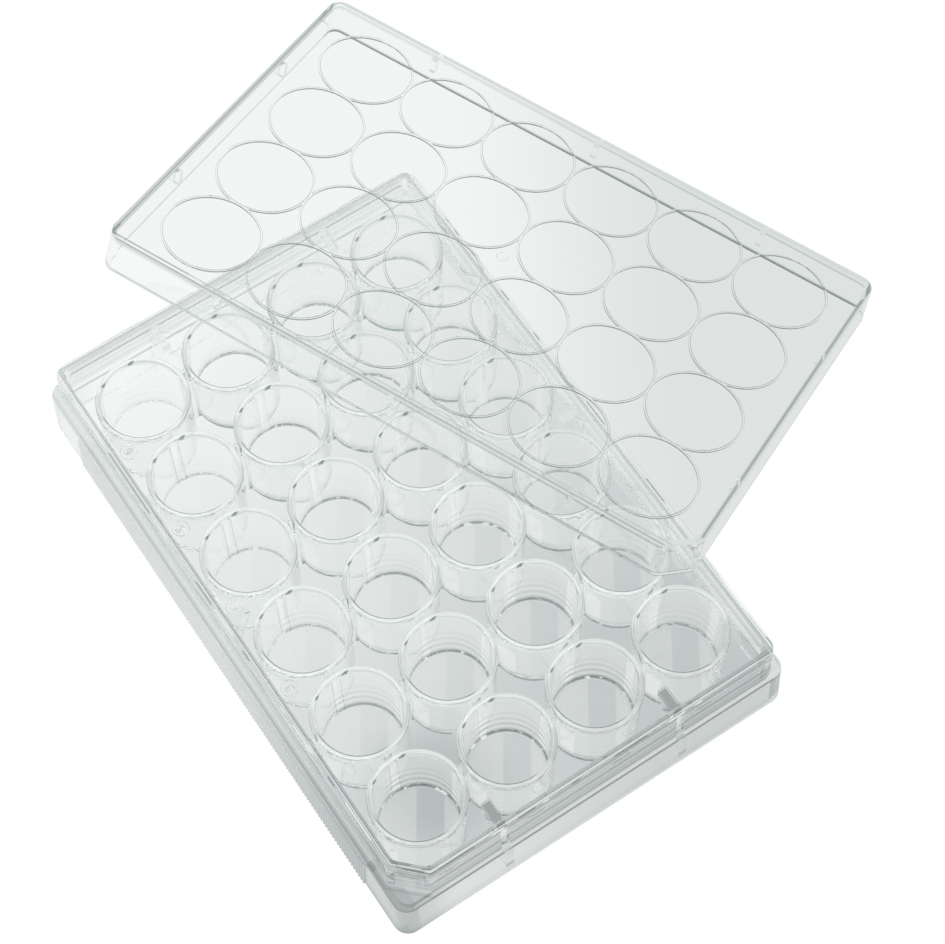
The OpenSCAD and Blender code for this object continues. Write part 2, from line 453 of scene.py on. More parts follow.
def addRings(lid):
    # neighbouring discs overlap a little, so every other one is joined at a time
    s = lidSpec
    rows = wellSpec["rows"]
    low, under = -s["panel"] - s["ringHeight"], -s["panel"]
    outer, inner = s["ringRadius"] + s["ringWidth"] / 2, s["ringRadius"] - s["ringWidth"] / 2
    for parity in (0, 1):
        discs = ringDiscs("discs", low, under / 2, outer - s["ringDraft"], outer,
                          lambda i: (i // rows + i % rows) % 2 == parity)
        combine(lid, discs, "UNION")
    holes = ringDiscs("holes", low - s["past"], under, inner + s["ringDraft"], inner, lambda i: True)
    combine(lid, holes, "DIFFERENCE")


def makeSpacers():
    s = lidSpec
    pitch = wellSpec["pitch"]
    inset = s["wall"] + s["draft"]
    places = [(turn, s["width"] / 2 - inset, along)
              for turn in (90, 270) for along in (-2 * pitch, 0, 2 * pitch)]
    places += [(turn, s["length"] / 2 - inset, along) for turn in (0, 180) for along in (-pitch, pitch)]
    parts = []
    for turn, out, along in places:
        half = s["spacerWidth"] / 2
        spacer = bar("spacer", (out - s["spacerReach"], along - half, -s["panel"] - s["spacerLength"]),
                     (out + s["spacerRoot"], along + half, -s["panel"] / 2))
        spacer.data.transform(Matrix.Rotation(math.radians(turn), 4, "Z"))
        parts.append(spacer)
    return joined("spacers", parts)


def makeLid():
    s = lidSpec
    lid = block("clearLid", s["length"], s["width"], s["cornerRadius"], -s["depth"], s["beadHeight"],
                s["draft"], s["cutCorner"], s["edgeRound"])
    bead = 2 * (s["beadWidth"] + s["draft"])
    dish = block("dish", s["length"] - bead, s["width"] - bead, s["dishRadius"], 0, s["clear"],
                 0, s["cutCorner"] - s["beadWidth"])
    combine(lid, dish, "DIFFERENCE")
    hollow = block("hollow", s["length"] - 2 * s["wall"], s["width"] - 2 * s["wall"],
                   s["cornerRadius"] - s["wall"], -s["depth"] - s["past"], -s["panel"], s["draft"],
                   s["cutCorner"])
    combine(lid, hollow, "DIFFERENCE")
    combine(lid, makeSpacers(), "UNION")
    print("lid: panel, skirt, bead and spacers")
    addRings(lid)
    finishPiece(lid, "lid", lidMatrix())
    return lid


markSpec = {
    "line": 0.08,
    "lineSides": 6,
    "sink": 0.03,
    "digitSize": 2.7,
    "letterSize": 3.7,
    "firstDigit": (-53.65, 37.4),
    "digitShift": (-8.0, 7.9),
    "ringRadius": 1.6,
    "ringSteps": 40,
    "letterOut": -58.0,
    "gateRadius": 1.1,
    "gatePlace": (0.2, -1.0),
}


def outlinedText(text, size, x, y, z):
    # only the outline of each letter, as a thin round line
    data = bpy.data.curves.new("mark", "FONT")
    data.body = text
    data.size = size
    data.align_x = data.align_y = "CENTER"
    data.fill_mode = "NONE"
    data.resolution_u = 4
    data.bevel_depth = markSpec["line"]
    data.bevel_resolution = 1
    source = bpy.data.objects.new("mark", data)
    bpy.context.scene.collection.objects.link(source)
    graph = bpy.context.evaluated_depsgraph_get()
    mesh = bpy.data.meshes.new_from_object(source.evaluated_get(graph))
    bpy.data.objects.remove(source)
    mesh.transform(Matrix.Translation((x, y, z)))
    mark = bpy.data.objects.new("mark", mesh)
    bpy.context.scene.collection.objects.link(mark)
    return mark


def ringLine(radius, x, y, z):
    m = markSpec
    bm = bmesh.new()
    bmesh.ops.create_circle(bm, segments=m["lineSides"], radius=m["line"])
    bmesh.ops.rotate(bm, cent=(0, 0, 0), matrix=Matrix.Rotation(math.pi / 2, 3, "X"), verts=bm.verts)
    bmesh.ops.translate(bm, vec=(radius, 0, 0), verts=bm.verts)
    bmesh.ops.spin(bm, geom=bm.verts[:] + bm.edges[:], cent=(0, 0, 0), axis=(0, 0, 1), dvec=(0, 0, 0),
                   angle=math.tau, steps=m["ringSteps"], use_merge=True)
    bmesh.ops.recalc_face_normals(bm, faces=bm.faces)
    bmesh.ops.translate(bm, vec=(x, y, z), verts=bm.verts)
    return meshObject("ringLine", bm)


def makeMarks():
    # the numbers along one side, the letters along the end and the rings round the numbers
    m, w = markSpec, wellSpec
    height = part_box("plate")[1][2] / mm - plateSpec["deckDrop"] + m["sink"]
    firstX = -(w["columns"] - 1) / 2 * w["pitch"]
    firstY = (w["rows"] - 1) / 2 * w["pitch"]
    parts = [outlinedText("1", m["digitSize"], *m["firstDigit"], height)]
    for column in range(1, w["columns"]):
        x = firstX + column * w["pitch"] + m["digitShift"][0]
        y = firstY + m["digitShift"][1]
        parts.append(outlinedText(str(column + 1), m["digitSize"], x, y, height))
        parts.append(ringLine(m["ringRadius"], x, y, height))
    for row, letter in enumerate("ABCD"):
        y = firstY - row * w["pitch"]
        parts.append(outlinedText(letter, m["letterSize"], m["letterOut"], y, height))
    print("marks: numbers, letters and rings")
    marks = joined("deckMarks", parts)
    finishPiece(marks, "plate", replaces=False)
    gate = ringLine(m["gateRadius"], *m["gatePlace"], 0)
    gate.name = "gateMark"
    finishPiece(gate, "lid", lidMatrix(), replaces=False)
    return marks, gate


def sockets(value, node, index, links):
    # a number is set on the node's own socket, anything else is linked to it
    if isinstance(value, (int, float)):
        node.inputs[index].default_value = value
    else:
        links.new(value, node.inputs[index])


def calc(tree, operation, *values, clamp=False):
    node = tree.nodes.new("ShaderNodeMath")
    node.operation = operation
    node.use_clamp = clamp
    for index, value in enumerate(values):
        sockets(value, node, index, tree.links)
    return node.outputs[0]


def absolute(tree, value):
    return calc(tree, "ABSOLUTE", value)


def ramp(tree, value, low, high, start=0.0, end=1.0):
    # a smooth step from start at low to end at high
    node = tree.nodes.new("ShaderNodeMapRange")
    node.interpolation_type = "SMOOTHSTEP"
    for index, each in enumerate((value, low, high, start, end)):
        sockets(each, node, index, tree.links)
    return node.outputs[0]


def between(tree, value, low, high, soft):
    # one from low to high, and nothing further out than soft
    rise = ramp(tree, value, low - soft, low)
    return calc(tree, "MULTIPLY", rise, ramp(tree, value, high, high + soft, 1, 0))


def product(tree, *values):
    total = values[0]
    for value in values[1:]:
        total = calc(tree, "MULTIPLY", total, value)
    return total


def summed(tree, *values):
    total = values[0]
    for value in values[1:]:
        total = calc(tree, "ADD", total, value)
    return total


def inverse(tree, value, amount=1.0):
    # one less the value, which is first scaled by amount
    return calc(tree, "MULTIPLY_ADD", value, -amount, 1.0)


def distance(tree, place, centre):
    node = tree.nodes.new("ShaderNodeVectorMath")
    node.operation = "DISTANCE"
    tree.links.new(place, node.inputs[0])
    node.inputs[1].default_value = centre
    return node.outputs["Value"]


def turned(tree, x, y, angle):
    # how far a place lies out in the direction of an angle
    turn = math.radians(angle)
    return calc(tree, "MULTIPLY_ADD", x, math.cos(turn), calc(tree, "MULTIPLY", y, math.sin(turn)))


def noise(tree, vector, scale, detail=2.0):
    node = tree.nodes.new("ShaderNodeTexNoise")
    node.inputs["Scale"].default_value = scale
    node.inputs["Detail"].default_value = detail
    tree.links.new(vector, node.inputs["Vector"])
    return node.outputs["Fac"]


def vector(tree, x, y, z):
    node = tree.nodes.new("ShaderNodeCombineXYZ")
    for index, value in enumerate((x, y, z)):
        sockets(value, node, index, tree.links)
    return node.outputs[0]


def mixedColour(tree, factor, first, second):
    # first where the factor is nothing, second where it is one
    mix = tree.nodes.new("ShaderNodeMix")
    mix.data_type = "RGBA"
    tree.links.new(factor, mix.inputs["Factor"])
    mix.inputs["A"].default_value = (*first, 1)
    mix.inputs["B"].default_value = (*second, 1)
    return mix.outputs["Result"]


def mixedValue(tree, factor, first, second):
    mix = tree.nodes.new("ShaderNodeMix")
    for index, value in ((0, factor), (2, first), (3, second)):
        sockets(value, mix, index, tree.links)
    return mix.outputs[0]


def ownPlace(tree):
    # millimetres in the piece's own frame, before it was tilted
    node = tree.nodes.new("ShaderNodeAttribute")
    node.attribute_name = "spot"
    split = tree.nodes.new("ShaderNodeSeparateXYZ")
    tree.links.new(node.outputs["Vector"], split.inputs[0])
    return split.outputs[0], split.outputs[1], split.outputs[2]


def wellPlace(tree, x, y):
    # millimetres from the centre of the nearest well
    pitch = wellSpec["pitch"]
    near = []
    for axis in (x, y):
        cell = calc(tree, "FRACT", calc(tree, "DIVIDE", axis, pitch))
        near.append(calc(tree, "MULTIPLY", calc(tree, "SUBTRACT", cell, 0.5), pitch))
    radius = calc(tree, "SQRT", calc(tree, "ADD", calc(tree, "MULTIPLY", near[0], near[0]),
                                     calc(tree, "MULTIPLY", near[1], near[1])))
    return near[0], near[1], radius


spotSpec = {
    "wellsLength": (57.3, 57.4, 1, 0),
    "wellsWidth": (38.1, 38.2, 1, 0),
    "cupFrom": -0.1,
    "cupSoft": 0.06,
    "innerWall": (8.3, 8.45, 1, 0),
    "rimHeight": (17.55, 17.75),
    "awayTurn": -61,
    "lastRow": (-24.0, -14.0, 0.35, 1.0),
    "wallInside": (60.2, 38.7),
    "cutInside": -66.81,
}


def plateSpots(tree):
    # the places on the plate that its painted light and shade are drawn by
    s, w = spotSpec, wellSpec
    x, y, z = ownPlace(tree)
    nearX, nearY, radius = wellPlace(tree, x, y)
    among = product(tree, ramp(tree, absolute(tree, x), *s["wellsLength"]),
                    ramp(tree, absolute(tree, y), *s["wellsWidth"]))
    cup = product(tree, between(tree, radius, w["floorRadius"] + s["cupFrom"], w["mouthRadius"] + w["wall"],
                                s["cupSoft"]), among)
    # how far out from the inner face of the raised wall, its cut corner included
    out = calc(tree, "MAXIMUM", calc(tree, "SUBTRACT", absolute(tree, x), s["wallInside"][0]),
               calc(tree, "SUBTRACT", absolute(tree, y), s["wallInside"][1]))
    cut = calc(tree, "MULTIPLY_ADD", calc(tree, "SUBTRACT", y, x), math.sqrt(0.5), s["cutInside"])
    out = calc(tree, "MAXIMUM", out, cut)
    return SimpleNamespace(x=x, y=y, z=z, nearX=nearX, nearY=nearY, radius=radius, among=among,
                           cup=cup, out=out,
                           inner=ramp(tree, radius, *s["innerWall"]),
                           rim=ramp(tree, z, *s["rimHeight"]),
                           away=turned(tree, nearX, nearY, s["awayTurn"]),
                           lastRow=ramp(tree, y, *s["lastRow"]))


# painted light and shade on the cups
cupPaintedLight = {
    "milkAndGleam": 0.22,
    "rimGleam": 0.36,
    "rimMiddle": (8.35, 8.95, 0.12),
    "rimEdge": 0.3,
    "rings": (("dark", 3.0, 0.5), ("dark", 5.6, 0.45), ("dark", 8.1, 0.3), ("dark", 10.6, 0.15),
              ("milkAndGleam", 4.3, 0.15), ("milkAndGleam", 6.9, 0.12), ("milkAndGleam", 9.4, 0.08)),
    "ringWidth": 0.3,
    "ringSoft": 0.6,
    "ringAlong": (-58.0, 20.0, 1.0, 0.12),
    "ringTurn": (-2.0, 5.0, 0.25, 1.0),
    "windowTurn": 112,
    "windowSide": (-1.3, 1.3, 0.5),
    "windowOut": (6.0, 7.0),
    "windowHeight": (4.0, 12.5, 2.0),
    "windowFace": (8.5, 8.6),
    "windowMilk": 0.7,
    "outerFace": (8.35, 8.4),
    "footHeight": (1.9, 2.3, 1, 0),
    "footAlong": (-58.0, 10.0, 1.0, 0.15),
    "footRow": (18.5, 19.2, 0.8, 0.0),
    "footDark": 0.9,
    "footGleam": 0.8,
    "skinDark": (1.5, 5.5, 0.35, 0.0),
    "sideTurn": 150.7,
    "sideSpan": (-0.5, 3.5, 2.0),
    "sideDark": 0.26,
    "lipFace": (8.1, 8.42, 0.05),
    "lipHeight": (17.2, 17.4),
    "lipTurn": 135,
    "lipFrom": (4.5, 6.5),
    "lipDark": 0.85,
    "glintTurn": 11,
    "glintFrom": (7.85, 8.0),
    "glintEdge": (7.3, 7.6, 0.1),
    "glintMilk": 0.9,
}


def cupLayers(tree, at, sparkle, layers):
    # cups painted whitish, their rims painted as highlights with dark edges, painted dark and light
    # reflection bands low on their inner walls, and a painted dark line round each foot
    f = cupPaintedLight
    dark, milkAndGleam = layers["dark"], layers["milkAndGleam"]
    milkAndGleam.append(product(tree, at.cup, inverse(tree, at.rim), f["milkAndGleam"]))
    # a painted highlight on each rim, with painted dark lines at its edges
    milkAndGleam.append(product(tree, at.cup, at.rim, f["rimGleam"]))
    dark.append(product(tree, at.cup, at.rim, inverse(tree, between(tree, at.radius, *f["rimMiddle"])),
                        f["rimEdge"]))
    # painted reflection bands, fading along the plate, round each cup and towards the last row
    fade = product(tree, ramp(tree, at.x, *f["ringAlong"]), ramp(tree, at.away, *f["ringTurn"]), at.lastRow)
    for kind, height, amount in f["rings"]:
        ring = between(tree, at.z, height - f["ringWidth"], height + f["ringWidth"], f["ringSoft"])
        layers[kind].append(product(tree, ring, at.cup, at.inner, fade, amount))
    # the window's light on the outside
    out = turned(tree, at.nearX, at.nearY, f["windowTurn"])
    side = turned(tree, at.nearX, at.nearY, f["windowTurn"] + 90)
    window = product(tree, between(tree, side, *f["windowSide"]), ramp(tree, out, *f["windowOut"]),
                     between(tree, at.z, *f["windowHeight"]), ramp(tree, at.radius, *f["windowFace"]), at.cup)
    milkAndGleam.append(product(tree, window, f["windowMilk"]))
    # the foot outside: a painted dark line that breaks into painted glints
    skin = product(tree, ramp(tree, at.radius, *f["outerFace"]), at.cup)
    foot = product(tree, skin, ramp(tree, at.z, *f["footHeight"]))
    footFade = calc(tree, "MAXIMUM", ramp(tree, at.x, *f["footAlong"]), ramp(tree, at.y, *f["footRow"]))
    dark.append(product(tree, foot, inverse(tree, sparkle), footFade, f["footDark"]))
    milkAndGleam.append(product(tree, foot, sparkle, f["footGleam"]))
    # painted shade low on the outer wall and on one side of each cup
    dark.append(product(tree, skin, ramp(tree, at.z, *f["skinDark"]), footFade))
    side = turned(tree, at.nearX, at.nearY, f["sideTurn"])
    dark.append(product(tree, skin, between(tree, side, *f["sideSpan"]), f["sideDark"]))
    # the inner edge of each rim: painted shade on one side, with one painted glint opposite
    lip = product(tree, between(tree, at.radius, *f["lipFace"]), ramp(tree, at.z, *f["lipHeight"]), at.among)
    facing = turned(tree, at.nearX, at.nearY, f["lipTurn"])
    glint = turned(tree, at.nearX, at.nearY, f["glintTurn"])
    dark.append(product(tree, lip, ramp(tree, facing, *f["lipFrom"]), f["lipDark"]))
    milkAndGleam.append(product(tree, lip, ramp(tree, glint, *f["glintFrom"]), f["glintMilk"]))
    dark.append(product(tree, lip, between(tree, glint, *f["glintEdge"]), f["lipDark"]))


# painted light and shade on the well floors
wellFloorPaintedLight = {
    "reach": (7.3, 7.35, 1, 0),
    "height": (2.2, 2.3, 1, 0),
    "bandTurn": -123.6,
    "band": (-0.5, 4.4, 0.25),
    "milkAndGleam": 0.12,
    "topFace": (1.4, 1.5),
    "bandDark": (-58.0, -25.0, 0.14, 0.0),
    "bandRow": (-30.0, 15.0, 0.3, 1.0),
    "edge": (7.5, 7.9, 0.04),
    "edgeHeight": (1.9, 2.5, 0.1),
    "edgeAlong": (-58.0, 30.0, 1.0, 0.6),
    "edgeEnd": (38.0, 39.0, 1.0, 0.2),
    "edgeTurn": (2.0, 4.0, 0.3, 1.0),
    "edgeDark": 0.65,
    "edgeGleam": 0.8,
}


def wellFloorLayers(tree, at, sparkle, layers):
    # a painted dark band between two painted lighter ones, and a rounded edge with a painted dark line that
    # breaks into painted glints
    f = wellFloorPaintedLight
    floor = product(tree, ramp(tree, at.radius, *f["reach"]), ramp(tree, at.z, *f["height"]), at.among)
    band = between(tree, turned(tree, at.nearX, at.nearY, f["bandTurn"]), *f["band"])
    layers["milkAndGleam"].append(product(tree, floor, inverse(tree, band), f["milkAndGleam"]))
    layers["dark"].append(product(tree, floor, band, ramp(tree, at.z, *f["topFace"]),
                                  ramp(tree, at.x, *f["bandDark"]), ramp(tree, at.y, *f["bandRow"])))
    edge = product(tree, between(tree, at.radius, *f["edge"]), between(tree, at.z, *f["edgeHeight"]),
                   at.among)
    fade = product(tree, ramp(tree, at.x, *f["edgeAlong"]), ramp(tree, at.x, *f["edgeEnd"]), at.lastRow)
    layers["dark"].append(product(tree, edge, inverse(tree, sparkle), fade,
                                  ramp(tree, at.away, *f["edgeTurn"]), f["edgeDark"]))
    layers["milkAndGleam"].append(product(tree, edge, sparkle, fade, f["edgeGleam"]))


# painted light and shade on the webs and ribs
webPaintedLight = {
    "half": (1.15, 1.2, 1, 0),
    "outside": (9.2, 9.25),
    "below": (16.0, 16.2, 1, 0),
    "milkAndGleam": 0.5,
    "edge": (0.8, 1.0, 0.06),
    "edgeRow": (0.0, 20.0, 0.3, 1.0),
    "edgeDark": 0.5,
    "behindHalf": (1.0, 1.2, 1, 0),
    "behindBelow": (16.5, 17.0, 1, 0),
    "behindEnd": (54.0, 54.1, 1, 0),
    "behindGleam": 0.35,
    "behindDark": 0.3,
    "ribSide": (8.65, 8.7),
    "ribFrom": (54.8, 54.9),
    "ribTo": (60.3, 60.2),
    "ribTop": (17.42, 17.45),
    "ribDark": 0.1,
}


def webLayers(tree, at, layers):
    # the webs between the cups painted milky-light with a fine painted dark line at each edge, also seen
    # through the cups, and painted shade on the rib tops
    f = webPaintedLight
    middle = calc(tree, "MINIMUM", absolute(tree, at.nearX), absolute(tree, at.nearY))
    edge = product(tree, between(tree, absolute(tree, at.nearY), *f["edge"]), ramp(tree, at.y, *f["edgeRow"]))
    web = product(tree, ramp(tree, middle, *f["half"]), ramp(tree, at.radius, *f["outside"]),
                  ramp(tree, at.z, *f["below"]), at.among)
    layers["milkAndGleam"].append(product(tree, web, f["milkAndGleam"]))
    layers["dark"].append(product(tree, web, edge, f["edgeDark"]))
    behind = product(tree, ramp(tree, middle, *f["behindHalf"]), at.cup, at.inner,
                     ramp(tree, at.z, *f["behindBelow"]))
    layers["milkAndGleam"].append(product(tree, behind, f["behindGleam"]))
    layers["dark"].append(product(tree, behind, edge, ramp(tree, at.x, *f["behindEnd"]), f["behindDark"]))
    out = absolute(tree, at.x)
    rib = product(tree, ramp(tree, absolute(tree, at.nearY), *f["ribSide"]), ramp(tree, out, *f["ribFrom"]),
                  ramp(tree, at.z, *f["ribTop"]), ramp(tree, out, *f["ribTo"]))
    layers["dark"].append(product(tree, rib, f["ribDark"]))


# painted light and shade on the raised wall and the ledge
wallPaintedLight = {
    "start": (0, 0.1),
    "height": (11.0, 11.8),
    "top": (19.55, 19.7),
    "topLines": (("dark", 0.15, 0.8, 0.08, 0.35), ("dark", 0.9, 1.0, 0.06, 0.75),
                 ("milkAndGleam", 1.12, 1.25, 0.06, 0.6)),
    "dash": (1.52, 1.72, 0.05),
    "dashScale": 0.14,
    "dashDark": ((0.56, 0.60), 0.75),
    "dashGleam": ((0.40, 0.44, 1, 0), 0.9),
    "innerFace": (0.1, 0.25, 0.05),
    "innerHeight": (17.3, 17.5),
    "innerAlong": (-60.0, 20.0, 1.0, 0.4),
    "innerDark": 0.6,
    "ledge": (10.9, 11.5, 0.1),
    "ledgeLines": (("milkAndGleam", 2.25, 2.45, 0.08, 0.35), ("dark", 2.95, 3.3, 0.08, 0.25)),
    "outerFace": (1.45, 1.5),
    "outerHeight": (11.6, 11.9),
    "outerLines": (("dark", 18.5, 0.22), ("dark", 16.8, 0.25), ("dark", 14.6, 0.2), ("dark", 12.6, 0.2),
                   ("milkAndGleam", 17.7, 0.5), ("milkAndGleam", 15.6, 0.35), ("milkAndGleam", 13.4, 0.3)),
    "lineHalf": 0.12,
    "lineSoft": 0.15,
    "firstSides": ((38.6, 38.9), (-60.0, -60.3)),
    "firstDark": 0.14,
    "lastSides": ((-39.0, -39.5), (60.0, 60.5)),
    "lastFace": (1.5, 1.6),
    "lastHeight": (11.5, 11.7),
    "lastGleam": 0.75,
    "lowEnd": (60.0, 60.3),
    "lowFace": (0.4, 0.3),
    "lowHeight": (17.5, 17.9, 0.1),
    "lowDark": 0.5,
}


def wallLayers(tree, at, layers):
    # painted dark and light lines and broken lines along the raised wall round the deck and the ledge at its
    # foot, with painted shade on the walls by the first row and column and painted light on the far walls
    f = wallPaintedLight
    dark, milkAndGleam = layers["dark"], layers["milkAndGleam"]
    wall = product(tree, ramp(tree, at.out, *f["start"]), ramp(tree, at.z, *f["height"]))
    top = ramp(tree, at.z, *f["top"])
    for kind, low, high, soft, amount in f["topLines"]:
        layers[kind].append(product(tree, top, between(tree, at.out, low, high, soft), amount))
    along = noise(tree, vector(tree, at.x, at.y, 0.0), f["dashScale"], 1.0)
    dash = product(tree, top, between(tree, at.out, *f["dash"]))
    for kind, (step, amount) in (("dark", f["dashDark"]), ("milkAndGleam", f["dashGleam"])):
        layers[kind].append(product(tree, dash, ramp(tree, along, *step), amount))
    innerFace = product(tree, between(tree, at.out, *f["innerFace"]), ramp(tree, at.z, *f["innerHeight"]),
                        inverse(tree, top))
    dark.append(product(tree, innerFace, ramp(tree, at.x, *f["innerAlong"]), f["innerDark"]))
    ledge = between(tree, at.z, *f["ledge"])
    for kind, low, high, soft, amount in f["ledgeLines"]:
        layers[kind].append(product(tree, ledge, between(tree, at.out, low, high, soft), amount))
    outer = product(tree, ramp(tree, at.out, *f["outerFace"]), ramp(tree, at.z, *f["outerHeight"]))
    for kind, height, amount in f["outerLines"]:
        line = between(tree, at.z, height - f["lineHalf"], height + f["lineHalf"], f["lineSoft"])
        layers[kind].append(product(tree, outer, line, amount))
    # painted shade on the walls by the first row and column, then painted light on the far walls
    rowSide, columnSide = f["firstSides"]
    sides = calc(tree, "MAXIMUM", ramp(tree, at.y, *rowSide), ramp(tree, at.x, *columnSide))
    dark.append(product(tree, wall, sides, f["firstDark"]))
    rowSide, columnSide = f["lastSides"]
    sides = calc(tree, "MAXIMUM", ramp(tree, at.x, *columnSide), ramp(tree, at.y, *rowSide))
    milkAndGleam.append(product(tree, sides, ramp(tree, at.out, *f["lastFace"]), ramp(tree, at.z, *f["lastHeight"]),
                        f["lastGleam"]))
    dark.append(product(tree, ramp(tree, at.x, *f["lowEnd"]), ramp(tree, at.out, *f["lowFace"]),
                        between(tree, at.z, *f["lowHeight"]), f["lowDark"]))


# painted shade and light on the skirt, with frosted grips
skirtFrostAndPaintedLight = {
    "face": (1.2, 1.6),
    "height": (11.0, 11.8, 1, 0),
    "rowSide": (30.0, 39.0),
    "along": (-55.0, 5.0, 1.0, 0.3),
    "dark": 0.3,
    "endFrom": (-51.6, -51.4, 1, 0),
    "endSide": (38.6, 39.0),
    "endDark": 0.15,
    "gripLength": (51.3, 51.5, 1, 0),
    "gripSide": (38.6, 38.9),
    "gripMilk": 0.85,
    "gripDark": (-55.0, 5.0, 0.3, 0.18),
    "footHeight": (0.03, 0.06, 1, 0),
    "footFace": (1.2, 1.3),
    "footGleam": 0.85,
    "footDark": (-64.0, 0.0, 0.1, 0.0),
}


def skirtLayers(tree, at, layers):
    # the skirt has painted shade towards the first column; its grips are frosted and get painted shade there
    # too, and its foot gets a painted light line with painted shade towards the first column
    f = skirtFrostAndPaintedLight
    dark, milkAndGleam = layers["dark"], layers["milkAndGleam"]
    skirt = product(tree, ramp(tree, at.out, *f["face"]), ramp(tree, at.z, *f["height"]))
    dark.append(product(tree, skirt, ramp(tree, at.y, *f["rowSide"]), ramp(tree, at.x, *f["along"]),
                        f["dark"]))
    dark.append(product(tree, skirt, ramp(tree, at.x, *f["endFrom"]), ramp(tree, at.y, *f["endSide"]),
                        f["endDark"]))
    grip = product(tree, skirt, ramp(tree, absolute(tree, at.x), *f["gripLength"]),
                   ramp(tree, absolute(tree, at.y), *f["gripSide"]))
    milkAndGleam.append(product(tree, grip, f["gripMilk"]))
    dark.append(product(tree, grip, ramp(tree, at.x, *f["gripDark"])))
    foot = product(tree, ramp(tree, at.z, *f["footHeight"]), ramp(tree, at.out, *f["footFace"]))
    milkAndGleam.append(product(tree, foot, f["footGleam"]))
    dark.append(product(tree, foot, ramp(tree, at.x, *f["footDark"])))


# painted glints and a painted glow over the plate
platePaintedLightSpec = {
    "sparkleScale": 0.7,
    "sparkleDetail": 1.5,
    "sparkleStep": (0.61, 0.65),
    # the painted glow of trapped light is dimmer towards the first column: painted shade
    "glow": (-64.0, -30.0, 0.38, 0.78),
}


def plateFrostAndPaintedLight(tree):
    # painted shade, painted light and the grips' frost at each place, and how bright the painted glow of
    # trapped light is there
    f = platePaintedLightSpec
    at = plateSpots(tree)
    layers = {"dark": [], "milkAndGleam": []}
    grain = noise(tree, vector(tree, at.x, at.y, at.z), f["sparkleScale"], f["sparkleDetail"])
    sparkle = ramp(tree, grain, *f["sparkleStep"])
    cupLayers(tree, at, sparkle, layers)
    wellFloorLayers(tree, at, sparkle, layers)
    webLayers(tree, at, layers)
    wallLayers(tree, at, layers)
    skirtLayers(tree, at, layers)
    return summed(tree, *layers["dark"]), summed(tree, *layers["milkAndGleam"]), ramp(tree, at.x, *f["glow"])


# painted light and shade on the lid
lidPaintedLightSpec = {
    "underPanel": (0.01, 0.04),
    "ringsLength": (58.2, 58.3, 1, 0),
    "ringsWidth": (39.2, 39.3, 1, 0),
    "ringTop": 0.14,
    "ringSoft": 0.02,
    "ringDark": 0.8,
    "bead": (0.05, 0.1),
    "beadLines": ((-1.05, -0.75, 0.4), (-0.6, -0.5, 0.3), (-0.14, 0.02, 0.6)),
    "beadSoft": 0.04,
    "beadSides": (38, 39, 0.5, 1.0),
    "shade": (-1.05, -0.65, 0.04),
    "shadeSide": (38, 39),
    "shadeAlong": (44, 46, 0.0, 0.4),
    "line": (-0.45, -0.35, 0.06),
    "lineSide": (30, 31),
    "lineFace": (-0.3, -0.2),
    "lineDark": 0.35,
    "corner": (-1.6, -1.2, 0.1),
    "cornerFace": (-1.2, -0.6, 0.1),
    "cornerAlong": (-20, 40, 1.0, 0.4),
    "cornerDark": 0.6,
    "foot": (0.04, 0.1),
    "thickFoot": (0.15, 0.25),
    "thickAlong": (20, -40),
    "footDark": 0.85,
    "farFoot": (0.35, 0.45),
    "farSide": (-39, -38, 1, 0),
    "farDark": 0.8,
    "roundFace": (-0.2, -0.1),
    "roundHeight": (0.1, 0.2),
    "roundGleam": 0.08,
    "glow": 0.75,
}


def lidPaintedLight(tree):
    # painted dark lines on the steep faces of the rings under the panel, and painted dark and light lines and
    # shade at its bead, its corners and its foot
    f, s = lidPaintedLightSpec, lidSpec
    x, y, z = ownPlace(tree)
    nearX, nearY, radius = wellPlace(tree, x, y)
    start, end = f["underPanel"]
    under = ramp(tree, z, -s["panel"] - start, -s["panel"] - end)
    inside = product(tree, ramp(tree, absolute(tree, x), *f["ringsLength"]),
                     ramp(tree, absolute(tree, y), *f["ringsWidth"]))
    low, high = s["ringRadius"] - f["ringTop"], s["ringRadius"] + f["ringTop"]
    steep = inverse(tree, between(tree, radius, low, high, f["ringSoft"]))
    dark = [product(tree, under, inside, steep, f["ringDark"])]
    edge = calc(tree, "MAXIMUM", calc(tree, "SUBTRACT", absolute(tree, x), s["length"] / 2 - s["draft"]),
                calc(tree, "SUBTRACT", absolute(tree, y), s["width"] / 2 - s["draft"]))
    bead = ramp(tree, z, *f["bead"])
    sides = ramp(tree, y, *f["beadSides"])
    for low, high, amount in f["beadLines"]:
        dark.append(product(tree, bead, between(tree, edge, low, high, f["beadSoft"]), sides, amount))
    dark.append(product(tree, bead, between(tree, edge, *f["shade"]), ramp(tree, y, *f["shadeSide"]),
                        ramp(tree, x, *f["shadeAlong"])))
    dark.append(product(tree, between(tree, z, *f["line"]), ramp(tree, y, *f["lineSide"]),
                        ramp(tree, edge, *f["lineFace"]), f["lineDark"]))
    dark.append(product(tree, between(tree, z, *f["corner"]), between(tree, edge, *f["cornerFace"]),
                        ramp(tree, x, *f["cornerAlong"]), f["cornerDark"]))
    foot, thick, far = [ramp(tree, z, low - s["depth"], high - s["depth"], 1, 0)
                        for low, high in (f["foot"], f["thickFoot"], f["farFoot"])]
    thick = product(tree, thick, ramp(tree, x, *f["thickAlong"]))
    dark.append(product(tree, calc(tree, "MAXIMUM", foot, thick), f["footDark"]))
    dark.append(product(tree, far, ramp(tree, y, *f["farSide"]), f["farDark"]))
    # a painted highlight on the rounded top edge
    rounded = product(tree, ramp(tree, edge, *f["roundFace"]), ramp(tree, z, *f["roundHeight"]),
                      f["roundGleam"])
    return summed(tree, *dark), rounded, f["glow"]


